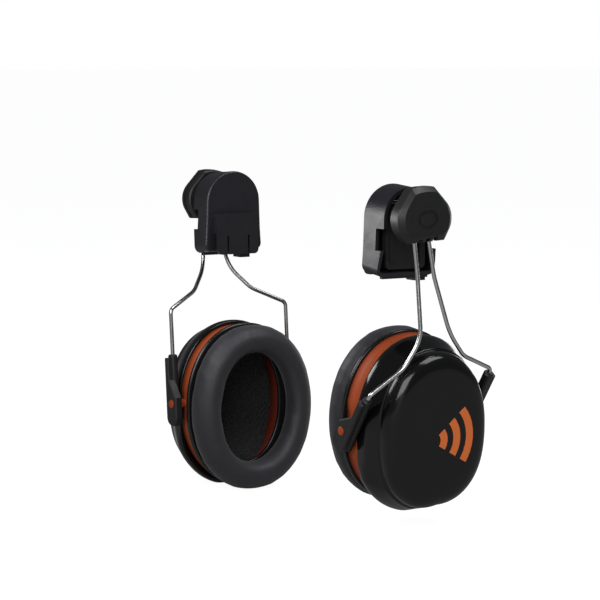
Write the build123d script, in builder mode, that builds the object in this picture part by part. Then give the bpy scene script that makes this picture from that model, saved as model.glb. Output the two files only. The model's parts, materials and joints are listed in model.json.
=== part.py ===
from build123d import *
import math
import os

# A pair of helmet-mounted ear muffs, in millimetres.
# +X is the wearer's left, -Y is forward, +Z is up. The origin is midway between the helmet's
# two side slots. Every piece is drawn for the left side and the right side is its mirror image,
# placed with the right side's own height, swing and tilt.

# Helmet adapter: an arched hood, open outwards, on a tongue that enters the helmet's slot.
# It narrows a little towards its rim, its floor slopes down, and the rim leans back at the foot.
HOOD_SPRING_LINE = 16.2
HOOD_BACK = 90.4
HOOD_BACK_HALF = 19.4
HOOD_BACK_BOTTOM = -15.0
HOOD_RIM = 110.2
HOOD_RIM_HALF = 17.9
HOOD_RIM_BOTTOM = -17.8
HOOD_RIM_LEAN = 5.5
HOOD_KNEE_LEAN = 1.8
HOOD_BACK_FLARE = (0.6, 1.6)
HOOD_RIM_FLARE = (1.1, 2.2)
HOOD_CORNER = 4.5
HOOD_WALL = 2.2
HOOD_WEB = 2.6
NOTCH_LOW = -1.8
NOTCH_HIGH = 10.8
NOTCH_DEPTH = 7.0
TONGUE_WIDTH = 29.4
TONGUE_THICK = 2.6
HELMET_WALL = 3.4

# Rocker: swings the arm out of the hood to the stand-by position about a pin near its top.
ROCKER_AXIS_X = 107.4
ROCKER_AXIS_Z = 26.0
ROCKER_PIN_R = 1.5
ROCKER_PIN_HALF = 13.4
ROCKER_PLATE_X = 101.8
ROCKER_PLATE_THICK = 3.6
PIN_FIT = 0.01
RUNNING_GAP = 0.05

# Pivot head on the rocker's post, and the wire yoke that it grips.
HEAD_X = 121.5
HEAD_Z = 17.0
HEAD_INNER_X = -5.5
HEAD_OUTER_X = 6.5
HEAD_BAND_END = 3.4
HEAD_HALF_Y = 18.5
HEAD_UP = 18.5
HEAD_DOWN = 13.4
HEAD_TURN = -3.2
POST_R = 2.8
WIRE_R = 1.28
WIRE_LOOP_R = 5.0
WIRE_FROM_HEAD = -2.3
WIRE_BEND_RADII = (4.0, 16.0, 26.0, 60.0, 60.0)

# Cup: sections are ellipses, given as (distance outwards, half width, half height).
# The dome rises from the flange to a ridge, and the raised outer face stands inside the ridge.
PIN_X = 17.4
PIN_Z = 2.0
PIN_R = 2.75
RING_INNER = (27.0, 38.6)
RING_START_HALF = (41.6, 51.7)
RING_END_HALF = (40.6, 51.0)
RING_START = 10.2
RING_END = 20.8
CUP_FLAT = 39.2
DOME_SECTIONS = (
    (20.8, 40.3, 51.9),
    (24.0, 40.7, 52.3),
    (29.0, 39.5, 51.2),
    (34.0, 37.7, 49.3),
    (38.6, 36.2, 47.8),
)
FACE_SECTIONS = (
    (34.0, 35.6, 47.0),
    (40.0, 35.6, 46.8),
    (45.0, 34.7, 45.6),
    (48.4, 32.0, 42.6),
    (50.2, 27.0, 37.0),
)
FACE_X = 50.2
CAVITY_SECTIONS = (
    (20.7, 36.6, 48.0),
    (30.0, 35.2, 46.6),
    (38.0, 32.8, 44.0),
    (44.0, 29.8, 40.4),
    (47.2, 24.0, 33.0),
)
PLATE_HALF = (42.0, 52.0)
PLATE_HOLE = (25.6, 37.4)
PLATE_START = 6.9
PLATE_END = 9.9
CUSHION_HALF = (41.8, 52.0)
CUSHION_HOLE = (24.5, 36.5)
CUSHION_FACE = -13.5
CUSHION_BACK = 6.6

# Badge: nested arcs on the cup's outer face.
BADGE_Y = -6.5
BADGE_Z = -4.0
BADGE_BAR = 4.8
BADGE_RADII = (26.2, 17.2, 8.2)
BADGE_WEDGE = (60, 44)
BADGE_RECESS = 0.65
BADGE_THICK = 0.85
BADGE_GAP = 0.12

# Slider: a blind tube for the wire's end beside the pivot pin. WIRE_ASIDE is its offset from the pin.
WIRE_ASIDE = 5.0
WIRE_HALF_SPREAD = 42.5
TUBE_R = 2.9
TUBE_TOP = 31.0
TUBE_BOTTOM = -11.0
BORE_BOTTOM = -9.0
WIRE_STRAIGHT = 42.5
PADDLE_INNER = 43.2
PADDLE_OUTER = 47.6
PIN_OUTER = 48.4
PIN_INNER = 33.5

# How each side stands: arm length from head to pins, backward swing, slider lean, cup tilt,
# how far the wire's end stands above the bore's floor, and the wire's free bends up to the head.
SIDES = {
    "left": {
        "drop": 118.6,
        "swing": 7.0,
        "lean": 41.0,
        "tilt": 8.7,
        "wire_end": -8.0,
        "bends": ((31.4, 20.9, 34.9), (35.5, 9.9, 50.6), (31.6, 5.6, 84.4)),
    },
    "right": {
        "drop": 127.2,
        "swing": 0.3,
        "lean": 4.0,
        "tilt": -0.7,
        "wire_end": 17.0,
        "bends": ((17.0, 21.0, 69.0), (25.0, 9.9, 82.0), (31.0, 5.6, 104.0)),
    },
}
PIN_INBOARD = 33.0


def stack(sections):
    """A smooth solid through elliptical sections."""
    with BuildPart() as body:
        for x, half_y, half_z in sections:
            with BuildSketch(Plane.YZ.offset(x)):
                Ellipse(half_y, half_z)
        loft()
    return body.part


def flat_sides(width):
    """A slab that trims a cup piece flat where the sliders pass."""
    with BuildPart() as slab:
        with Locations((20, 0, 0)):
            Box(120, 2 * width, 200)
    return slab.part


def adapter_hood():
    with BuildPart() as hood:
        loft(sections=[hood_back(0), hood_front(0)], ruled=True)
        fillet(hood.edges().group_by(Axis.X)[0], 1.4)
        loft(sections=[hood_back(HOOD_WALL), hood_front(HOOD_WALL)], ruled=True, mode=Mode.SUBTRACT)
        # Rectangular notches in both side walls, open to the rim.
        with Locations((HOOD_RIM, 0, (NOTCH_LOW + NOTCH_HIGH) / 2)):
            Box(2 * NOTCH_DEPTH, 60, NOTCH_HIGH - NOTCH_LOW, mode=Mode.SUBTRACT)
        # Below the notches the rim leans back towards the helmet.
        with BuildSketch(Plane.XZ):
            with BuildLine():
                Polyline(
                    (HOOD_RIM + 1, NOTCH_HIGH),
                    (HOOD_RIM, NOTCH_HIGH),
                    (HOOD_RIM - HOOD_KNEE_LEAN, NOTCH_LOW),
                    (HOOD_RIM - HOOD_RIM_LEAN, HOOD_RIM_BOTTOM - 2),
                    (HOOD_RIM + 1, HOOD_RIM_BOTTOM - 2),
                    close=True,
                )
            make_face()
        extrude(amount=30, both=True, mode=Mode.SUBTRACT)
        # Rolled lip under the opening, with a small release tab.
        with Locations((HOOD_RIM - HOOD_RIM_LEAN - 1.0, 0, HOOD_RIM_BOTTOM + 0.7)):
            Box(2.6, 2 * (HOOD_RIM_HALF + HOOD_RIM_FLARE[1] - HOOD_CORNER), 2.4)
        with Locations((HOOD_RIM - 10.5, 11.0, HOOD_RIM_BOTTOM - 0.6)):
            Box(9, 7, 3.4)
        # Blind holes for the rocker's pin, in the arch.
        with Locations((ROCKER_AXIS_X, 0, ROCKER_AXIS_Z)):
            Cylinder(
                ROCKER_PIN_R + PIN_FIT, 2 * ROCKER_PIN_HALF + 0.2, rotation=(90, 0, 0), mode=Mode.SUBTRACT
            )
    return hood.part


def hood_back(inset):
    """The arch's outline where the hood lies on the helmet, or where its inside starts."""
    x = HOOD_BACK if inset == 0 else HOOD_BACK + HOOD_WEB
    corner = max(HOOD_CORNER - inset, 1)
    return hood_face(x, HOOD_BACK_HALF - inset, HOOD_BACK_BOTTOM + inset, corner, HOOD_BACK_FLARE)


def hood_front(inset):
    """The arch's outline at the rim."""
    corner = max(HOOD_CORNER - inset, 1)
    return hood_face(HOOD_RIM, HOOD_RIM_HALF - inset, HOOD_RIM_BOTTOM + inset, corner, HOOD_RIM_FLARE)


def hood_face(x, half, bottom, corner, flare):
    """An arch whose sides spread a little at the notch and more at the foot."""
    knee = half + flare[0]
    foot = half + flare[1]
    with BuildSketch(Plane.YZ.offset(x)) as face:
        with BuildLine():
            Polyline((-half, HOOD_SPRING_LINE), (-knee, NOTCH_LOW), (-foot, bottom))
            Line((-foot, bottom), (foot, bottom))
            Polyline((foot, bottom), (knee, NOTCH_LOW), (half, HOOD_SPRING_LINE))
            crown = (0, HOOD_SPRING_LINE + half)
            ThreePointArc((half, HOOD_SPRING_LINE), crown, (-half, HOOD_SPRING_LINE))
        make_face()
        fillet(face.vertices().group_by(Axis.Y)[0], corner)
    return face.sketch.face()


def adapter_tongue():
    neck = HELMET_WALL
    with BuildPart() as tongue:
        with BuildSketch(Plane.YZ.offset(HOOD_BACK - neck)):
            with Locations((0, 2)):
                RectangleRounded(TONGUE_WIDTH, 14, 2)
        extrude(amount=neck)
        with BuildSketch(Plane.YZ.offset(HOOD_BACK - neck - TONGUE_THICK)):
            with Locations((0, -4)):
                RectangleRounded(TONGUE_WIDTH, 26, 3)
            with Locations((-7.5, -12), (7.5, -12)):
                Rectangle(1.2, 14, mode=Mode.SUBTRACT)
        extrude(amount=TONGUE_THICK)
        # Snap bump on the spring finger between the two slits.
        with Locations((HOOD_BACK - neck, 0, -14)):
            Cylinder(1.2, 10, rotation=(90, 0, 0))
    return tongue.part


def rocker_pin():
    with BuildPart() as pin:
        with Locations((ROCKER_AXIS_X, 0, ROCKER_AXIS_Z)):
            Cylinder(ROCKER_PIN_R, 2 * ROCKER_PIN_HALF, rotation=(90, 0, 0))
        chamfer(pin.edges().filter_by(GeomType.CIRCLE), 0.3)
    return pin.part


def return_spring():
    """A leaf spring fixed to the hood's back wall, bearing towards the rocker's foot."""
    back = HOOD_BACK + HOOD_WEB
    with BuildPart() as leaf:
        with BuildSketch(Plane.XZ.offset(-5)):
            with BuildLine() as centre:
                Polyline(
                    (back + 0.4, 2), (back + 0.4, -6), (back + 5.2, -13), (back + 7.4, -13), (back + 8.2, -11)
                )
                offset(amount=0.35)
            make_face()
        extrude(amount=10)
        with Locations((back + 1.0, 0, -1)):
            Cylinder(1.6, 0.8, rotation=(0, 90, 0))
    return leaf.part


def rocker():
    plate_face = ROCKER_PLATE_X + ROCKER_PLATE_THICK
    with BuildPart() as body:
        with BuildSketch(Plane.YZ.offset(ROCKER_PLATE_X)):
            with Locations((0, 5.2)):
                RectangleRounded(27, 36.4, 3)
        extrude(amount=ROCKER_PLATE_THICK)
        # Knuckle round the pin, and the web that carries it.
        with Locations((ROCKER_AXIS_X, 0, ROCKER_AXIS_Z)):
            Cylinder(3.0, 14, rotation=(90, 0, 0))
        with Locations((ROCKER_PLATE_X + 2.8, 0, ROCKER_AXIS_Z - 2.0)):
            Box(5.6, 14, 4)
        # Round boss that the head turns against.
        with BuildSketch(Plane.YZ.offset(plate_face)):
            with Locations((0, HEAD_Z)):
                Circle(9)
        extrude(amount=HEAD_X + HEAD_INNER_X - 0.9 - plate_face)
        with Locations((ROCKER_AXIS_X, 0, ROCKER_AXIS_Z)):
            Cylinder(ROCKER_PIN_R + RUNNING_GAP, 40, rotation=(90, 0, 0), mode=Mode.SUBTRACT)
        with BuildSketch(Plane.YZ.offset(ROCKER_PLATE_X - 1)):
            with Locations((0, HEAD_Z)):
                Circle(POST_R + PIN_FIT)
        extrude(amount=30, mode=Mode.SUBTRACT)
        # Two stiffening ribs down the plate.
        with Locations((plate_face, -10, -2), (plate_face, 10, -2)):
            Box(2.4, 1.8, 14)
    return body.part


def pivot_post():
    """Shouldered screw: its shank turns in the head and its flange keeps the head on."""
    with BuildPart() as post:
        with BuildSketch(Plane.YZ.offset(ROCKER_PLATE_X)):
            with Locations((0, HEAD_Z)):
                Circle(POST_R)
        extrude(amount=HEAD_X + 2.4 - ROCKER_PLATE_X)
        with BuildSketch(Plane.YZ.offset(HEAD_X + 1.4)):
            with Locations((0, HEAD_Z)):
                Circle(4.6)
        extrude(amount=1.4)
        with BuildSketch(Plane.YZ.offset(HEAD_X + 1.4)):
            with Locations((0, HEAD_Z)):
                RegularPolygon(1.7, 6)
        extrude(amount=1.5, mode=Mode.SUBTRACT)
    return post.part


def friction_washer():
    with BuildPart() as washer:
        with BuildSketch(Plane.YZ.offset(HEAD_X + HEAD_INNER_X - 0.85)):
            with Locations((0, HEAD_Z)):
                Circle(8.2)
                Circle(POST_R + 0.15, mode=Mode.SUBTRACT)
        extrude(amount=0.5)
    return washer.part


def head_profile(shrink, x):
    """Outline of the pivot head seen from outside: narrow crown, sloping shoulders, flat foot."""
    side = HEAD_HALF_Y - shrink
    crown = HEAD_UP - shrink
    foot = -HEAD_DOWN + shrink
    with BuildSketch(Plane.YZ.offset(x)) as face:
        with BuildLine():
            ThreePointArc((-7.5, crown - 1.0), (0, crown), (7.5, crown - 1.0))
            Line((7.5, crown - 1.0), (side - 3.0, 8.0))
            ThreePointArc((side - 3.0, 8.0), (side, 0.0), (side - 2.4, -8.0))
            Line((side - 2.4, -8.0), (side - 6.0, foot))
            Line((side - 6.0, foot), (-side + 6.0, foot))
            Line((-side + 6.0, foot), (-side + 2.4, -8.0))
            ThreePointArc((-side + 2.4, -8.0), (-side, 0.0), (-side + 3.0, 8.0))
            Line((-side + 3.0, 8.0), (-7.5, crown - 1.0))
        make_face()
    return face.sketch.rotate(Axis.X, HEAD_TURN)


def wire_route(side):
    """Corner points of the front leg, from the end in the slider up into the head's loop."""
    lean = math.radians(side["lean"])
    drop = side["drop"]

    def along(distance):
        x = WIRE_ASIDE * math.cos(lean) + distance * math.sin(lean)
        z = -WIRE_ASIDE * math.sin(lean) + distance * math.cos(lean)
        return Vector(x - PIN_INBOARD, -WIRE_HALF_SPREAD, z - drop)

    points = [along(side["wire_end"]), along(side["wire_end"] + WIRE_STRAIGHT)]
    for x, y, z in side["bends"]:
        points.append(Vector(x - PIN_INBOARD, -y, z - drop))
    points.append(Vector(WIRE_FROM_HEAD, -WIRE_LOOP_R, -14.0))
    points.append(Vector(WIRE_FROM_HEAD, -WIRE_LOOP_R, 0))
    return points


def rounded(points, radii):
    """Straight runs joined by tangent arcs, as one wire."""
    start = points[0]
    with BuildLine() as route:
        for before, corner, after, radius in zip(points, points[1:], points[2:], radii):
            inward = (before - corner).normalized()
            outward = (after - corner).normalized()
            turn = math.pi - math.acos(max(-1.0, min(1.0, inward.dot(outward))))
            reach = radius * math.tan(turn / 2)
            reach = min(reach, 0.45 * (before - corner).length, 0.45 * (after - corner).length)
            bend = reach / math.tan(turn / 2)
            middle = (inward + outward).normalized() * (bend / math.cos(turn / 2) - bend)
            Line(start, corner + inward * reach)
            ThreePointArc(corner + inward * reach, corner + middle, corner + outward * reach)
            start = corner + outward * reach
        Line(start, points[-1])
    return route.wire()


def wire_yoke(side):
    """One bent spring wire: two legs and the loop that goes round the head's hub."""
    points = wire_route(side)
    with BuildPart() as yoke:
        heading = (points[1] - points[0]).normalized()
        with BuildSketch(Plane(origin=points[0], z_dir=heading)):
            Circle(WIRE_R)
        sweep(path=rounded(points, WIRE_BEND_RADII))
        with BuildLine(Plane.YZ.offset(WIRE_FROM_HEAD)) as bow:
            ThreePointArc((-WIRE_LOOP_R, 0), (0, WIRE_LOOP_R), (WIRE_LOOP_R, 0))
        mirror(about=Plane.XZ)
        with BuildSketch(Plane(origin=points[-1], z_dir=(0, 0, 1))):
            Circle(WIRE_R)
        sweep(path=bow.wire())
        # The two ends are rounded off.
        ends = yoke.edges().filter_by(GeomType.CIRCLE).sort_by(Axis.Z)[:2]
        chamfer(ends, 0.4)
    return yoke.part


def head_base():
    """Inner half of the pivot head, with the wire's channel and the hole for the post."""
    split_x = 0.6
    with BuildPart() as base:
        extrude(head_profile(0.5, HEAD_INNER_X), amount=split_x - HEAD_INNER_X)
        chamfer(base.edges().group_by(Axis.X)[0], 0.8)
        with BuildSketch(Plane.YZ.offset(-10)):
            Circle(POST_R + RUNNING_GAP)
        extrude(amount=30, mode=Mode.SUBTRACT)
        # Channel: two straight grooves and the half turn that joins them, open outwards.
        with BuildSketch(Plane.YZ.offset(WIRE_FROM_HEAD - WIRE_R - 0.1)):
            with BuildLine():
                Line((-WIRE_LOOP_R - 1.5, -20), (-WIRE_LOOP_R - 1.5, 0))
                ThreePointArc((-WIRE_LOOP_R - 1.5, 0), (0, WIRE_LOOP_R + 1.5), (WIRE_LOOP_R + 1.5, 0))
                Line((WIRE_LOOP_R + 1.5, 0), (WIRE_LOOP_R + 1.5, -20))
                Line((WIRE_LOOP_R + 1.5, -20), (WIRE_LOOP_R - 1.5, -20))
                Line((WIRE_LOOP_R - 1.5, -20), (WIRE_LOOP_R - 1.5, 0))
                ThreePointArc((WIRE_LOOP_R - 1.5, 0), (0, WIRE_LOOP_R - 1.5), (-WIRE_LOOP_R + 1.5, 0))
                Line((-WIRE_LOOP_R + 1.5, 0), (-WIRE_LOOP_R + 1.5, -20))
                Line((-WIRE_LOOP_R + 1.5, -20), (-WIRE_LOOP_R - 1.5, -20))
            make_face()
        extrude(amount=20, mode=Mode.SUBTRACT)
    return base.part


def head_cap():
    """Outer half of the pivot head: a straight band, then a bevelled face with a dished oval mark."""
    start = 0.7
    with BuildPart() as cap:
        extrude(head_profile(0, start), amount=HEAD_BAND_END - start)
        loft(
            sections=[head_profile(0, HEAD_BAND_END).face(), head_profile(3.2, HEAD_OUTER_X).face()],
            ruled=True,
        )
        # Shallow oval groove.
        with BuildSketch(Plane.YZ.offset(HEAD_OUTER_X - 0.6)):
            with Locations((0, -0.5)):
                Ellipse(7.0, 5.2)
                Ellipse(5.2, 3.6, mode=Mode.SUBTRACT)
        extrude(amount=2, mode=Mode.SUBTRACT)
        # Pocket behind the cap for the post's flange.
        with BuildSketch(Plane.YZ.offset(start)):
            Circle(5.2)
        extrude(amount=2.6, mode=Mode.SUBTRACT)
        # Three notches in the foot, where the legs come out.
        with Locations((4.0, -WIRE_LOOP_R, -HEAD_DOWN), (4.0, WIRE_LOOP_R, -HEAD_DOWN), (4.0, 0, -HEAD_DOWN)):
            Box(8, 2.6, 4.4, mode=Mode.SUBTRACT)
    return cap.part


def slider(front):
    """Tube for the wire's end, with a flat paddle that the pivot pin goes through."""
    sign = -1 if front else 1
    with BuildPart() as body:
        with BuildSketch(Plane.XZ.offset(-sign * PADDLE_INNER)) as paddle:
            with BuildLine():
                Polyline(
                    (7.2, 29), (7.2, -14), (-5.4, -14), (-5.4, 4), (2.6, 15), (2.8, 29), close=True
                )
            make_face()
            fillet(paddle.vertices().group_by(Axis.Y)[0], 5.5)
        extrude(amount=-sign * (PADDLE_OUTER - PADDLE_INNER))
        chamfer(body.faces().sort_by(Axis.Y)[0 if front else -1].edges(), 0.8)
        with BuildSketch(Plane.XY.offset(TUBE_BOTTOM)):
            with Locations((WIRE_ASIDE, sign * WIRE_HALF_SPREAD)):
                Circle(TUBE_R)
        extrude(amount=TUBE_TOP - TUBE_BOTTOM)
        chamfer(body.edges().group_by(Axis.Z)[-1], 0.7)
        with BuildSketch(Plane.XY.offset(BORE_BOTTOM)):
            with Locations((WIRE_ASIDE, sign * WIRE_HALF_SPREAD)):
                Circle(WIRE_R + RUNNING_GAP)
        extrude(amount=60, mode=Mode.SUBTRACT)
        with BuildSketch(Plane.XZ.offset(-sign * 45)):
            Circle(PIN_R + 0.01)
        extrude(amount=12, both=True, mode=Mode.SUBTRACT)
    return body.part


def pivot_pin(front):
    sign = -1 if front else 1
    middle = sign * (PIN_OUTER + PIN_INNER) / 2
    with BuildPart() as pin:
        with Locations((0, middle, 0)):
            Cylinder(PIN_R, PIN_OUTER - PIN_INNER, rotation=(90, 0, 0))
        chamfer(pin.edges().filter_by(GeomType.CIRCLE), 0.5)
    return pin.part


def spacer_ring():
    """Coloured ring between the cushion plate and the shell, with a blind hole for each pivot pin."""
    with BuildPart() as ring:
        with BuildSketch(Plane.YZ.offset(RING_START)):
            Ellipse(*RING_START_HALF)
        with BuildSketch(Plane.YZ.offset(RING_END)):
            Ellipse(*RING_END_HALF)
        loft()
        add(flat_sides(CUP_FLAT), mode=Mode.INTERSECT)
        with BuildSketch(Plane.YZ.offset(RING_START - 1)):
            Ellipse(*RING_INNER)
        extrude(amount=30, mode=Mode.SUBTRACT)
        for sign in (-1, 1):
            with Locations((PIN_X, sign * (PIN_INNER - 0.5 + 30), PIN_Z)):
                Cylinder(PIN_R + RUNNING_GAP, 60, rotation=(90, 0, 0), mode=Mode.SUBTRACT)
    return ring.part


def cup_shell():
    """Hollow outer shell: flange and dome, then a raised outer face with the badge's recess."""
    with BuildPart() as shell:
        add(stack(DOME_SECTIONS))
        add(stack(FACE_SECTIONS))
        add(flat_sides(CUP_FLAT), mode=Mode.INTERSECT)
        add(stack(CAVITY_SECTIONS), mode=Mode.SUBTRACT)
        add(badge_bars(BADGE_GAP, FACE_X - BADGE_RECESS - 0.05, 2.0), mode=Mode.SUBTRACT)
    return shell.part


def badge_bars(clearance, start, depth):
    """Three nested arcs, like waves of sound, as raised bars on the cup's outer face."""
    with BuildPart() as bars:
        with BuildSketch(Plane.YZ.offset(start)):
            with Locations((BADGE_Y, BADGE_Z)):
                for radius in BADGE_RADII:
                    Circle(radius + BADGE_BAR / 2 + clearance)
                    Circle(radius - BADGE_BAR / 2 - clearance, mode=Mode.SUBTRACT)
            with BuildSketch(mode=Mode.PRIVATE) as wedge:
                with BuildLine():
                    Polyline(
                        (BADGE_Y, BADGE_Z),
                        (BADGE_Y + BADGE_WEDGE[0], BADGE_Z + BADGE_WEDGE[1]),
                        (BADGE_Y + BADGE_WEDGE[0], BADGE_Z - BADGE_WEDGE[1]),
                        close=True,
                    )
                make_face()
            add(wedge.sketch, mode=Mode.INTERSECT)
        extrude(amount=depth)
    return bars.part


def back_plate():
    """Glossy rim that carries the cushion and closes the ring."""
    with BuildPart() as plate:
        with BuildSketch(Plane.YZ.offset(PLATE_START)):
            Ellipse(*PLATE_HALF)
            Ellipse(*PLATE_HOLE, mode=Mode.SUBTRACT)
        extrude(amount=PLATE_END - PLATE_START)
        add(flat_sides(CUP_FLAT + 2), mode=Mode.INTERSECT)
        fillet(plate.edges().group_by(Axis.X)[0].sort_by(Edge.length)[-1], 1.0)
    return plate.part


def cushion():
    """Ear cushion: a soft ring, rounded all over."""
    with BuildPart() as pad:
        with BuildSketch(Plane.YZ.offset(CUSHION_FACE)):
            Ellipse(*CUSHION_HALF)
            Ellipse(*CUSHION_HOLE, mode=Mode.SUBTRACT)
        extrude(amount=CUSHION_BACK - CUSHION_FACE)
        fillet(pad.edges().group_by(Axis.X)[0], 7.5)
        fillet(pad.edges().group_by(Axis.X)[-1], 5.0)
    return pad.part


def foam_liner():
    """Open-cell foam that fills the outer half of the cup."""
    with BuildPart() as foam:
        with BuildSketch(Plane.YZ.offset(22.0)):
            Ellipse(32.4, 42.6)
        with BuildSketch(Plane.YZ.offset(30.0)):
            Ellipse(32.0, 42.0)
        loft()
    return foam.part


def place(part, frame, side_name, label):
    """Move a left-hand piece to its place, mirror it for the right side, name it and write it."""
    placed = part.moved(frame)
    if side_name == "right":
        placed = mirror(placed, about=Plane.YZ)
    piece = placed.solids()[0] if len(placed.solids()) == 1 else Compound(children=placed.solids())
    piece.label = label
    export_step(piece, f"parts/{label}.step")


os.makedirs("parts", exist_ok=True)
for side_name, side in SIDES.items():
    world = Location((0, 0, 0))
    arm = Location((HEAD_X, 0, HEAD_Z)) * Location((0, 0, 0), (side["swing"], 0, 0))
    pins = arm * Location((-PIN_INBOARD, 0, -side["drop"]))
    yoke = pins * Location((0, 0, 0), (0, side["lean"], 0))
    cup = pins * Location((0, 0, 0), (0, side["tilt"], 0)) * Location((-PIN_X, 0, -PIN_Z))
    pieces = (
        ("adapter_hood", adapter_hood(), world),
        ("adapter_tongue", adapter_tongue(), world),
        ("rocker_pin", rocker_pin(), world),
        ("return_spring", return_spring(), world),
        ("rocker", rocker(), world),
        ("pivot_post", pivot_post(), world),
        ("friction_washer", friction_washer(), world),
        ("head_base", head_base(), arm),
        ("head_cap", head_cap(), arm),
        ("wire_yoke", wire_yoke(side), arm),
        ("slider_front", slider(True), yoke),
        ("slider_rear", slider(False), yoke),
        ("pivot_pin_front", pivot_pin(True), yoke),
        ("pivot_pin_rear", pivot_pin(False), yoke),
        ("spacer_ring", spacer_ring(), cup),
        ("cup_shell", cup_shell(), cup),
        ("badge", badge_bars(0, FACE_X - BADGE_RECESS, BADGE_THICK), cup),
        ("back_plate", back_plate(), cup),
        ("cushion", cushion(), cup),
        ("foam_liner", foam_liner(), cup),
    )
    for name, part, frame in pieces:
        place(part, frame, side_name, f"{name}_{side_name}")
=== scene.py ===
import json
import math

import bmesh
import bpy
from mathutils import Matrix, Vector, noise


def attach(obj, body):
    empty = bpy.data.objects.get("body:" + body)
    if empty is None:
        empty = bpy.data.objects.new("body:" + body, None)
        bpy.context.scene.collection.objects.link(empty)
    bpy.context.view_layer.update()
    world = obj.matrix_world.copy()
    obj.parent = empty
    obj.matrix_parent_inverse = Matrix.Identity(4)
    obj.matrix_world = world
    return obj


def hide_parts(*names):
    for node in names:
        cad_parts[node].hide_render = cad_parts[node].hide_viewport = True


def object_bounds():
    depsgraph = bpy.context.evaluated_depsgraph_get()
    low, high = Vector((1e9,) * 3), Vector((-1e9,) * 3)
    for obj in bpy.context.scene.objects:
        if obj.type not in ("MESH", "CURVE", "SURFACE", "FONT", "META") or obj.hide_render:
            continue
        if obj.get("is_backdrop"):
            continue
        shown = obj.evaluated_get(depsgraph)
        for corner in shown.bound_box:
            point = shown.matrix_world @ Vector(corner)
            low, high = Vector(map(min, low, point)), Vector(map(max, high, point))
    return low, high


# A pair of helmet-mounted ear muffs: glossy cups with soft cushions, on sprung wire arms.
# The scene is in metres. Each cup piece is drawn in millimetres in the left cup's own frame: x
# outwards through the cup, y backwards, z up, with the origin at the middle of the cushion's
# widest plane. It is then placed on its side's cup, mirrored for the right one.

MM = 0.001
SIDES = ("left", "right")
CUP_TILT = {"left": 8.7, "right": -0.7}  # degrees that each cup leans about its pins at rest
PIN_IN_CUP = (17.4 * MM, 2.0 * MM)  # x and z of the pins' axis in the cup's own frame

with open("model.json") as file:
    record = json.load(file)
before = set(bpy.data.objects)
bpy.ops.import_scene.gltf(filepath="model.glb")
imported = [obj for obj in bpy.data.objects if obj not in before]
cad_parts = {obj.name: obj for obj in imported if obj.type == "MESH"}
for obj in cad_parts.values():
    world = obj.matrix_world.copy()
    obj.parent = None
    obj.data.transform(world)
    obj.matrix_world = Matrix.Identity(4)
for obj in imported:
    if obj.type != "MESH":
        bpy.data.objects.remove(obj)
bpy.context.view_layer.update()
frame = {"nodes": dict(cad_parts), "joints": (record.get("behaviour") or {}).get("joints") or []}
nodes = frame["nodes"]
joints = {joint["name"]: joint for joint in frame["joints"]}


# ---------------------------------------------------------------- materials


NOISE_SPAN = (0.3, 0.7)  # most values of a noise texture fall in here


class Nodes:
    """Short names for the nodes of one material."""

    def __init__(self, name):
        self.material = bpy.data.materials.new(name)
        self.material.use_nodes = True
        self.tree = self.material.node_tree
        self.shader = self.tree.nodes["Principled BSDF"]
        self.position = self.tree.nodes.new("ShaderNodeTexCoord").outputs["Object"]

    def add(self, kind, **inputs):
        node = self.tree.nodes.new(kind)
        for key, value in inputs.items():
            self.put(node.inputs[key.replace("_", " ")], value)
        return node

    def put(self, socket, value):
        if isinstance(value, bpy.types.NodeSocket):
            self.tree.links.new(value, socket)
        else:
            socket.default_value = value

    def noise(self, scale, detail=4.0):
        node = self.add(
            "ShaderNodeTexNoise", Vector=self.position, Scale=scale, Detail=detail, Roughness=0.55
        )
        return node.outputs["Fac"]

    def cells(self, scale):
        node = self.add("ShaderNodeTexVoronoi", Vector=self.position, Scale=scale)
        return node.outputs["Distance"]

    def spread(self, value, low, high, out_low, out_high):
        """Maps low..high on to out_low..out_high."""
        node = self.tree.nodes.new("ShaderNodeMapRange")
        for index, number in enumerate((value, low, high, out_low, out_high)):
            self.put(node.inputs[index], number)
        return node.outputs[0]

    def blend(self, amount, first, second):
        node = self.tree.nodes.new("ShaderNodeMix")
        node.data_type = "RGBA"
        self.put(node.inputs["Factor"], amount)
        self.put(node.inputs[6], first)
        self.put(node.inputs[7], second)
        return node.outputs[2]

    def bump(self, height, strength, distance, under=None):
        node = self.add("ShaderNodeBump", Height=height, Strength=strength, Distance=distance)
        if under is not None:
            self.put(node.inputs["Normal"], under)
        return node.outputs["Normal"]

    def set(self, **inputs):
        for key, value in inputs.items():
            self.put(self.shader.inputs[key.replace("_", " ")], value)

    def colour(self, amount, dark, light):
        """Base colour that drifts between two close tones."""
        self.set(Base_Color=self.blend(amount, (*dark, 1), (*light, 1)))

    def gloss(self, scale, low, high):
        """Roughness that drifts between low and high."""
        self.set(Roughness=self.spread(self.noise(scale), *NOISE_SPAN, low, high))

    def grain(self, scale, detail, strength, distance, under=None):
        """A fine uneven surface."""
        self.set(Normal=self.bump(self.noise(scale, detail), strength, distance, under))


def plastic(name, dark, light, rough, grain_scale, grain_depth):
    m = Nodes(name)
    m.colour(m.noise(60.0), dark, light)
    m.gloss(220.0, rough - 0.05, rough + 0.06)
    m.grain(grain_scale, 3.0, 0.35, grain_depth)
    m.set(IOR=1.5)
    return m.material


def gloss_shell():
    m = Nodes("shell_gloss")
    m.colour(m.noise(30.0), (0.003, 0.003, 0.003), (0.005, 0.005, 0.005))
    m.gloss(90.0, 0.12, 0.17)
    m.grain(45.0, 2.0, 0.05, 0.0004)
    m.set(IOR=1.46)
    return m.material


def orange_plastic(name, dark, light):
    m = Nodes(name)
    m.colour(m.noise(50.0), dark, light)
    m.gloss(200.0, 0.5, 0.6)
    m.grain(1500.0, 2.0, 0.2, 0.00006)
    m.set(Specular_IOR_Level=0.25)
    return m.material


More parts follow.
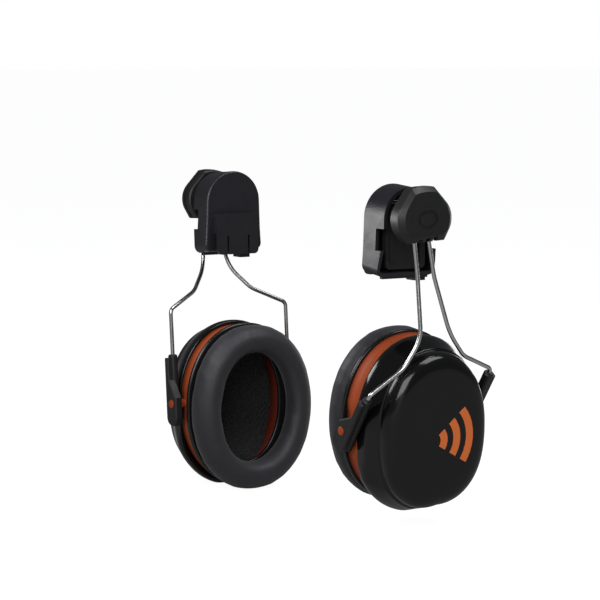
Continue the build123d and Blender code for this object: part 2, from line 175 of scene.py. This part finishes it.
def glowing_badge():
    m = Nodes("badge_orange_glow")
    m.colour(m.noise(70.0), (0.84, 0.19, 0.045), (0.90, 0.22, 0.055))
    m.gloss(200.0, 0.4, 0.5)
    m.grain(1500.0, 2.0, 0.2, 0.00006)
    # The small orange emission is a painted glow: the badge shines a little of its own, though it
    # is no lamp.
    m.set(Specular_IOR_Level=0.3, Emission_Color=(0.9, 0.2, 0.05, 1.0), Emission_Strength=0.06)
    return m.material


def soft_skin():
    m = Nodes("cushion_skin")
    m.colour(m.noise(80.0), (0.017, 0.017, 0.021), (0.025, 0.025, 0.031))
    m.gloss(300.0, 0.50, 0.62)
    creases = m.bump(m.cells(1400.0), 0.25, 0.00012)
    m.grain(120.0, 3.0, 0.15, 0.0006, creases)
    m.set(Sheen_Weight=0.12, Sheen_Roughness=0.5)
    return m.material


def open_foam():
    m = Nodes("open_foam")
    pores = m.cells(700.0)
    m.colour(m.spread(pores, 0.0, 0.6, 0.0, 1.0), (0.002, 0.002, 0.002), (0.02, 0.02, 0.021))
    m.set(Roughness=m.spread(pores, 0.0, 1.0, 0.85, 0.98))
    m.set(Normal=m.bump(pores, 0.9, 0.001))
    return m.material


def polished_wire():
    m = Nodes("polished_wire")
    m.colour(m.noise(150.0), (0.56, 0.56, 0.56), (0.66, 0.66, 0.65))
    m.gloss(500.0, 0.14, 0.22)
    m.grain(900.0, 2.0, 0.12, 0.00008)
    m.set(Metallic=1.0)
    return m.material


BLACK = plastic("adapter_satin", (0.010, 0.010, 0.013), (0.015, 0.015, 0.019), 0.36, 1200.0, 0.0004)
HEAD = plastic("head_matt", (0.009, 0.009, 0.010), (0.014, 0.014, 0.015), 0.46, 1400.0, 0.0001)
ROCKER = plastic("rocker_matt", (0.008, 0.008, 0.009), (0.012, 0.012, 0.013), 0.5, 1400.0, 0.0001)
SLIDER = plastic("slider_satin", (0.007, 0.007, 0.008), (0.011, 0.011, 0.012), 0.5, 1600.0, 0.00008)
NYLON = plastic("washer_nylon", (0.55, 0.54, 0.50), (0.62, 0.61, 0.57), 0.5, 900.0, 0.00005)
GLOSS = gloss_shell()
ORANGE = orange_plastic("orange_plastic", (0.34, 0.056, 0.013), (0.44, 0.080, 0.019))
# A darker copy of the orange: painted shade for the ring's faces inside the cup's opening.
ORANGE_PAINTED_SHADE = orange_plastic("orange_painted_shade", (0.10, 0.012, 0.006), (0.14, 0.018, 0.008))
RIM = plastic("cushion_rim", (0.007, 0.007, 0.008), (0.010, 0.010, 0.011), 0.22, 700.0, 0.00005)
BADGE_GLOW = glowing_badge()
SKIN = soft_skin()
FOAM = open_foam()
WIRE = polished_wire()

FINISHES = {
    "adapter_hood": BLACK,
    "adapter_tongue": BLACK,
    "rocker_pin": WIRE,
    "return_spring": WIRE,
    "rocker": ROCKER,
    "pivot_post": WIRE,
    "friction_washer": NYLON,
    "head_base": HEAD,
    "head_cap": HEAD,
    "wire_yoke": WIRE,
    "slider_front": SLIDER,
    "slider_rear": SLIDER,
    "pivot_pin_front": ORANGE,
    "pivot_pin_rear": ORANGE,
    "spacer_ring": ORANGE,
    "cup_shell": GLOSS,
    "badge": BADGE_GLOW,
    "back_plate": ROCKER,
    "cushion": SKIN,
    "foam_liner": FOAM,
}
for node_name, node_object in nodes.items():
    finish = FINISHES[node_name.rsplit("_", 1)[0]]
    node_object.data.materials.clear()
    node_object.data.materials.append(finish)


# ---------------------------------------------------------------- cup pieces


def cup_place(side):
    """Matrix from the left cup's own frame to where the cup of this side hangs."""
    joint = joints["cup_tilt_" + side]
    mirror = 1 if side == "left" else -1
    pin = Vector(joint["pos_m"])
    pin.x *= mirror
    axis = Vector(joint["axis"])
    swing = Matrix.Rotation(math.atan2(axis.z, axis.y), 4, "X")
    tilt = Matrix.Rotation(math.radians(CUP_TILT[side]), 4, "Y")
    to_pin = Matrix.Translation((-PIN_IN_CUP[0], 0, -PIN_IN_CUP[1]))
    flip = Matrix.Diagonal((mirror, 1, 1, 1))
    return flip @ Matrix.Translation(pin) @ swing @ tilt @ to_pin


def oval(half_y, half_z, turn):
    """A point on a superellipse, at the angle turn."""
    across = math.cos(turn)
    along = math.sin(turn)
    y = half_y * math.copysign(abs(across) ** (2 / OVAL_POWER), across)
    z = half_z * math.copysign(abs(along) ** (2 / OVAL_POWER), along)
    return y, z


def ring_mesh(profile, count=128, closed=False, capped=False):
    """A skin through oval rings. profile is (x, half width, half height) in millimetres."""
    mesh = bmesh.new()
    rings = []
    for x, half_y, half_z in profile:
        ring = []
        for step in range(count):
            y, z = oval(half_y, half_z, 2 * math.pi * step / count)
            ring.append(mesh.verts.new((x * MM, y * MM, z * MM)))
        rings.append(ring)
    pairs = list(zip(rings, rings[1:]))
    if closed:
        pairs.append((rings[-1], rings[0]))
    for first, second in pairs:
        for step in range(count):
            after = (step + 1) % count
            mesh.faces.new((first[step], first[after], second[after], second[step]))
    if capped:
        mesh.faces.new(rings[-1])
    bmesh.ops.recalc_face_normals(mesh, faces=mesh.faces)
    return mesh


def add_object(name, data):
    added = bpy.data.objects.new(name, data)
    bpy.context.scene.collection.objects.link(added)
    return added


def object_from(mesh, name):
    """Turns a bmesh into an object."""
    data = bpy.data.meshes.new(name)
    mesh.to_mesh(data)
    mesh.free()
    return add_object(name, data)


def piece_from(mesh, name, matrix, material, body):
    """Places a bmesh and turns it into a piece that rides on a body."""
    if matrix.determinant() < 0:
        bmesh.ops.reverse_faces(mesh, faces=mesh.faces)
    mesh.transform(matrix)
    piece = object_from(mesh, name)
    piece.data.shade_smooth()
    piece.data.materials.append(material)
    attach(piece, body)
    return piece


def subdivide(piece, levels):
    modifier = piece.modifiers.new("smooth", "SUBSURF")
    modifier.levels = levels
    modifier.render_levels = levels


# Profiles are rings of (x, half width, half height) in millimetres. A flat is the half width at
# which a piece is trimmed.
OVAL_POWER = 2.1  # 2 is an ellipse, and more is squarer
SHELL_PROFILE = (
    (21.6, 36.9, 48.3), (21.0, 37.4, 48.8), (20.9, 39.2, 50.8), (21.1, 40.0, 51.6),
    (21.8, 40.4, 52.0), (24.0, 40.7, 52.3), (26.5, 40.3, 52.0), (29.0, 39.5, 51.2),
    (32.0, 38.4, 50.1), (34.5, 37.5, 49.1), (36.8, 36.7, 48.3), (37.8, 36.4, 48.0),
    (38.3, 36.15, 47.7), (38.5, 35.8, 47.3), (38.7, 35.45, 46.9), (39.2, 35.3, 46.7),
    (40.5, 35.3, 46.65), (42.5, 35.1, 46.4), (44.5, 34.6, 45.7), (46.5, 33.6, 44.5),
    (48.1, 32.0, 42.7), (49.2, 29.9, 40.4), (49.85, 27.3, 37.5), (50.1, 24.0, 33.5),
    (50.15, 18.0, 25.5), (50.15, 11.0, 16.0), (50.15, 4.0, 6.0),
)
SHELL_FLAT = 39.2
SHELL_HALF = (40.7, 52.3)  # half width and half height at its widest
SHELL_FULLNESS = 0.075  # share added to the width at the lower corners, half of it to the height
CUSHION_PROFILE = (
    (6.5, 27.6, 36.6), (6.6, 32.0, 42.0), (6.5, 36.4, 46.8), (6.1, 37.9, 48.2),
    (5.2, 39.1, 49.4), (3.6, 40.2, 50.4), (1.6, 40.9, 51.1), (-1.0, 41.2, 51.4),
    (-4.0, 40.8, 51.0), (-7.0, 39.5, 49.8), (-9.8, 37.4, 47.6), (-11.9, 34.7, 44.9),
    (-12.8, 31.7, 42.0), (-12.7, 29.0, 39.3), (-11.6, 26.6, 36.9), (-9.2, 24.6, 34.9),
    (-6.0, 23.9, 33.8), (-2.0, 24.4, 33.4), (2.0, 25.6, 33.6), (5.0, 26.6, 34.4),
)
CUSHION_OUTLINE = ((1, 42.4, 0.4), (2, 52.4, -1.0))  # axis, half size and middle of the pad
CUSHION_VOXEL = 4.0
CUSHION_PRESSURE = 4.0
CUSHION_SWELL = 0.9  # the most that a point moves when the skin is blown up
CUSHION_SEAT_X = 5.0  # beyond this the skin is held on its plate
CLOTH_FRAMES = 20
PLATE_PROFILE = (
    (9.9, 30.0, 41.0), (9.9, 40.6, 50.7), (9.8, 41.3, 51.3), (9.3, 41.8, 51.8),
    (8.4, 42.0, 52.0), (7.6, 41.7, 51.7), (7.0, 40.9, 51.0), (6.9, 39.8, 50.0),
    (6.9, 30.0, 41.0), (6.95, 26.2, 38.0), (7.4, 25.6, 37.4), (9.4, 25.6, 37.4),
    (9.9, 26.2, 38.0),
)
PLATE_FLAT = SHELL_FLAT + 2
BAND_PROFILE = (
    (10.2, 40.2, 50.6), (15.5, 39.6, 50.0), (20.8, 39.2, 49.7), (20.8, 27.4, 39.0),
    (20.4, 27.0, 38.6), (15.5, 27.0, 38.6), (10.6, 27.0, 38.6), (10.2, 27.4, 39.0),
)
BAND_FLAT = 38.4
BAND_SHADE_OVAL = (33.0, 44.0)  # faces inside this oval line the opening and get the darker orange, as painted shade
FOAM_PROFILE = (
    (29.9, 31.8, 41.8), (26.0, 32.0, 42.0), (23.4, 31.9, 41.9), (22.3, 31.2, 41.2),
    (22.05, 29.0, 39.0), (22.2, 24.0, 33.0), (22.6, 16.0, 22.0), (22.9, 6.0, 8.0),
)
FOAM_DISH = 9.5  # rise of the ends above the middle
FOAM_DISH_FROM, FOAM_DISH_SPAN = 14, 24  # heights over which it rises
FOAM_BACK_X, FOAM_MOVED_DEPTH = 30, 6  # the back stays flat
FOAM_GRAIN_SCALE, FOAM_GRAIN_DEPTH = 90, 0.5


def flatten_sides(mesh, limit):
    """Trims the oval flat at front and rear, where the sliders pass."""
    for vertex in mesh.verts:
        vertex.co.y = max(-limit * MM, min(limit * MM, vertex.co.y))


def make_shell(side):
    mesh = ring_mesh(SHELL_PROFILE, count=160, capped=True)
    half_y, half_z = SHELL_HALF
    for vertex in mesh.verts:
        # The moulding is fuller towards its lower corners.
        low = max(0.0, -vertex.co.z / (half_z * MM))
        wide = abs(vertex.co.y) / (half_y * MM)
        reach = 1 + SHELL_FULLNESS * min(1.0, 4 * low * wide * low)
        vertex.co.y *= reach
        vertex.co.z *= 1 + 0.5 * (reach - 1)
    flatten_sides(mesh, SHELL_FLAT)
    shell = piece_from(mesh, "shell_skin_" + side, cup_place(side), GLOSS, "cup_" + side)
    subdivide(shell, 2)
    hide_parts("cup_shell_" + side)


def puff(mesh_object):
    """Blows a closed skin up with cloth pressure. No point moves further than CUSHION_SWELL."""
    bpy.context.view_layer.objects.active = mesh_object
    remesh = mesh_object.modifiers.new("even", "REMESH")
    remesh.mode = "VOXEL"
    remesh.voxel_size = CUSHION_VOXEL * MM
    bpy.ops.object.modifier_apply(modifier="even")
    start = [vertex.co.copy() for vertex in mesh_object.data.vertices]
    group = mesh_object.vertex_groups.new(name="held")
    held = [index for index, place in enumerate(start) if place.x > CUSHION_SEAT_X * MM]
    group.add(held, 1.0, "REPLACE")
    cloth = mesh_object.modifiers.new("cloth", "CLOTH")
    cloth.settings.use_pressure = True
    cloth.settings.uniform_pressure_force = CUSHION_PRESSURE
    cloth.settings.effector_weights.gravity = 0
    cloth.settings.tension_stiffness = 20
    cloth.settings.compression_stiffness = 20
    cloth.settings.shear_stiffness = 10
    cloth.settings.vertex_group_mass = "held"
    for frame_number in range(1, CLOTH_FRAMES + 1):
        bpy.context.scene.frame_set(frame_number)
    bpy.ops.object.modifier_apply(modifier="cloth")
    bpy.context.scene.frame_set(1)
    most = CUSHION_SWELL * MM
    for vertex, before in zip(mesh_object.data.vertices, start):
        move = vertex.co - before
        if move.length > most:
            vertex.co = before + move * (most / move.length)
    mesh_object.vertex_groups.clear()


def make_cushion(side):
    """The skin is blown up round its foam in the cup's own frame, then put in place."""
    cushion = object_from(ring_mesh(CUSHION_PROFILE, closed=True), "cushion_pad_" + side)
    puff(cushion)
    even = cushion.modifiers.new("even", "SMOOTH")
    even.factor = 0.5
    even.iterations = 4
    subdivide(cushion, 1)
    bpy.context.view_layer.objects.active = cushion
    for modifier_name in ("even", "smooth"):
        bpy.ops.object.modifier_apply(modifier=modifier_name)
    # Rounding off shrinks the pad, so it is stretched back to its full outline.
    for axis, half, middle in CUSHION_OUTLINE:
        widest = max(abs(vertex.co[axis]) for vertex in cushion.data.vertices)
        for vertex in cushion.data.vertices:
            vertex.co[axis] = vertex.co[axis] * half * MM / widest + middle * MM
    place = cup_place(side)
    cushion.data.transform(place)
    if place.determinant() < 0:
        cushion.data.flip_normals()
    cushion.data.shade_smooth()
    cushion.data.materials.append(SKIN)
    subdivide(cushion, 1)
    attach(cushion, "cup_" + side)
    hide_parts("cushion_" + side)


def make_plate(side):
    """The glossy rim that carries the cushion."""
    mesh = ring_mesh(PLATE_PROFILE, closed=True)
    flatten_sides(mesh, PLATE_FLAT)
    plate = piece_from(mesh, "cushion_rim_" + side, cup_place(side), RIM, "cup_" + side)
    subdivide(plate, 2)
    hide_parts("back_plate_" + side)


def make_band(side):
    """The orange ring, set back between rim and shell, with painted shade (a darker copy of its
    orange) where it lines the opening.
    """
    mesh = ring_mesh(BAND_PROFILE, count=160, closed=True)
    flatten_sides(mesh, BAND_FLAT)
    shade_y, shade_z = BAND_SHADE_OVAL
    # Faces inside the oval get the darker orange, as painted shade.
    for face in mesh.faces:
        middle = face.calc_center_median()
        if math.hypot(middle.y / (shade_y * MM), middle.z / (shade_z * MM)) < 1:
            face.material_index = 1
    band = piece_from(mesh, "band_" + side, cup_place(side), ORANGE, "cup_" + side)
    band.data.materials.append(ORANGE_PAINTED_SHADE)
    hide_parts("spacer_ring_" + side)


def clamp(value):
    return max(0.0, min(1.0, value))


def make_foam(side):
    """A pad of open foam, dished: it stands higher towards its top and bottom ends."""
    mesh = ring_mesh(FOAM_PROFILE, count=96, capped=True)
    bmesh.ops.subdivide_edges(mesh, edges=mesh.edges, cuts=1, use_grid_fill=True)
    for vertex in mesh.verts:
        rise = clamp((abs(vertex.co.z) / MM - FOAM_DISH_FROM) / FOAM_DISH_SPAN)
        front = clamp((FOAM_BACK_X - vertex.co.x / MM) / FOAM_MOVED_DEPTH)
        vertex.co.x -= FOAM_DISH * MM * rise * rise * (3 - 2 * rise) * front
        vertex.co.x += noise.noise(vertex.co * FOAM_GRAIN_SCALE) * FOAM_GRAIN_DEPTH * MM
    foam = piece_from(mesh, "foam_pad_" + side, cup_place(side), FOAM, "cup_" + side)
    subdivide(foam, 1)
    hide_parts("foam_liner_" + side)


for side in SIDES:
    make_shell(side)
    make_cushion(side)
    make_plate(side)
    make_band(side)
    make_foam(side)


# ---------------------------------------------------------------- stage, light and camera


FLOOR_HALF = 40.0
FLOOR_GAP = 0.0005
# How bright the white floor is to the camera, in reflections, and as a light on the object.
FLOOR_SEEN, FLOOR_MIRRORED, FLOOR_LIGHTING = 0.95, 0.14, 0.03
WORLD_LIGHTING = 0.12  # the backdrop is 1.0 to the camera
MIDDLE = (0, 0, -0.08)
LIGHTS = {
    # name: location, width and height, watts, and the point it is aimed at
    "key": ((0.95, -1.0, 0.62), (1.0, 0.85), 12, MIDDLE),
    "top": ((0.45, 0.35, 1.25), (0.9, 0.7), 9, MIDDLE),
    "front": ((1.5, -0.9, 0.1), (0.8, 0.8), 0.9, MIDDLE),
    "rim": ((-0.6, 1.0, -0.02), (0.5, 0.26), 0.9, MIDDLE),
    # The white helmet's glow on the near adapter.
    "helmet_glow": ((-0.05, -0.13, 0.03), (0.10, 0.08), 0.17, (0.1, -0.015, 0.0)),
}
CAMERA_AZIMUTH = 58.39  # degrees from the front, towards the left cup
CAMERA_ELEVATION = 5.47
CAMERA_DISTANCE = 1.583
CAMERA_TARGET = (-0.0143, 0.0027, -0.0408)
CAMERA_LENS = 154.5
CAMERA_SENSOR = 36


def stage():
    low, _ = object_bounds()
    z = low.z - FLOOR_GAP
    corners = [(x * FLOOR_HALF, y * FLOOR_HALF, z) for x, y in ((-1, -1), (1, -1), (1, 1), (-1, 1))]
    floor_mesh = bpy.data.meshes.new("floor")
    floor_mesh.from_pydata(corners, [], [(0, 1, 2, 3)])
    floor = add_object("floor", floor_mesh)
    m = Nodes("studio_floor")
    m.colour(m.noise(4.0), (0.20, 0.20, 0.20), (0.22, 0.22, 0.22))
    ray = m.tree.nodes.new("ShaderNodeLightPath")
    unseen = m.spread(ray.outputs["Is Glossy Ray"], 0.0, 1.0, FLOOR_LIGHTING, FLOOR_MIRRORED)
    glow = m.spread(ray.outputs["Is Camera Ray"], 0.0, 1.0, unseen, FLOOR_SEEN)
    m.set(Roughness=0.8, Emission_Color=(1.0, 1.0, 1.0, 1.0), Emission_Strength=glow)
    floor_mesh.materials.append(m.material)
    floor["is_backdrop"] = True


def area_light(name, location, size, power, target):
    data = bpy.data.lights.new(name, "AREA")
    data.shape = "RECTANGLE"
    data.size, data.size_y = size
    data.energy = power
    light = add_object(name, data)
    light.location = location
    light.rotation_euler = (Vector(target) - Vector(location)).to_track_quat("-Z", "Y").to_euler()
    light.visible_camera = False


def studio():
    """A white surround, seen as the backdrop, with a dimmer one that lights the object."""
    world = bpy.data.worlds.new("studio")
    world.use_nodes = True
    tree = world.node_tree
    backdrop = tree.nodes["Background"]
    backdrop.inputs["Color"].default_value = (1.0, 1.0, 1.0, 1.0)
    backdrop.inputs["Strength"].default_value = 1.0
    dim = tree.nodes.new("ShaderNodeBackground")
    dim.inputs["Color"].default_value = (0.9, 0.93, 1.0, 1.0)
    dim.inputs["Strength"].default_value = WORLD_LIGHTING
    ray = tree.nodes.new("ShaderNodeLightPath")
    either = tree.nodes.new("ShaderNodeMixShader")
    tree.links.new(ray.outputs["Is Camera Ray"], either.inputs[0])
    tree.links.new(dim.outputs[0], either.inputs[1])
    tree.links.new(backdrop.outputs[0], either.inputs[2])
    tree.links.new(either.outputs[0], tree.nodes["World Output"].inputs[0])
    bpy.context.scene.world = world
    bpy.context.scene.view_settings.view_transform = "Standard"
    for name, settings in LIGHTS.items():
        area_light(name, *settings)


def camera():
    azimuth = math.radians(CAMERA_AZIMUTH)
    elevation = math.radians(CAMERA_ELEVATION)
    back = Vector((
        math.sin(azimuth) * math.cos(elevation),
        -math.cos(azimuth) * math.cos(elevation),
        math.sin(elevation),
    ))
    right = (-back).cross(Vector((0, 0, 1))).normalized()
    up = back.cross(right)
    data = bpy.data.cameras.new("camera")
    data.sensor_width = CAMERA_SENSOR
    data.lens = CAMERA_LENS
    view = add_object("camera", data)
    turn = Matrix((right, up, back)).transposed().to_4x4()
    view.matrix_world = Matrix.Translation(Vector(CAMERA_TARGET) + back * CAMERA_DISTANCE) @ turn
    bpy.context.scene.camera = view


stage()
studio()
camera()
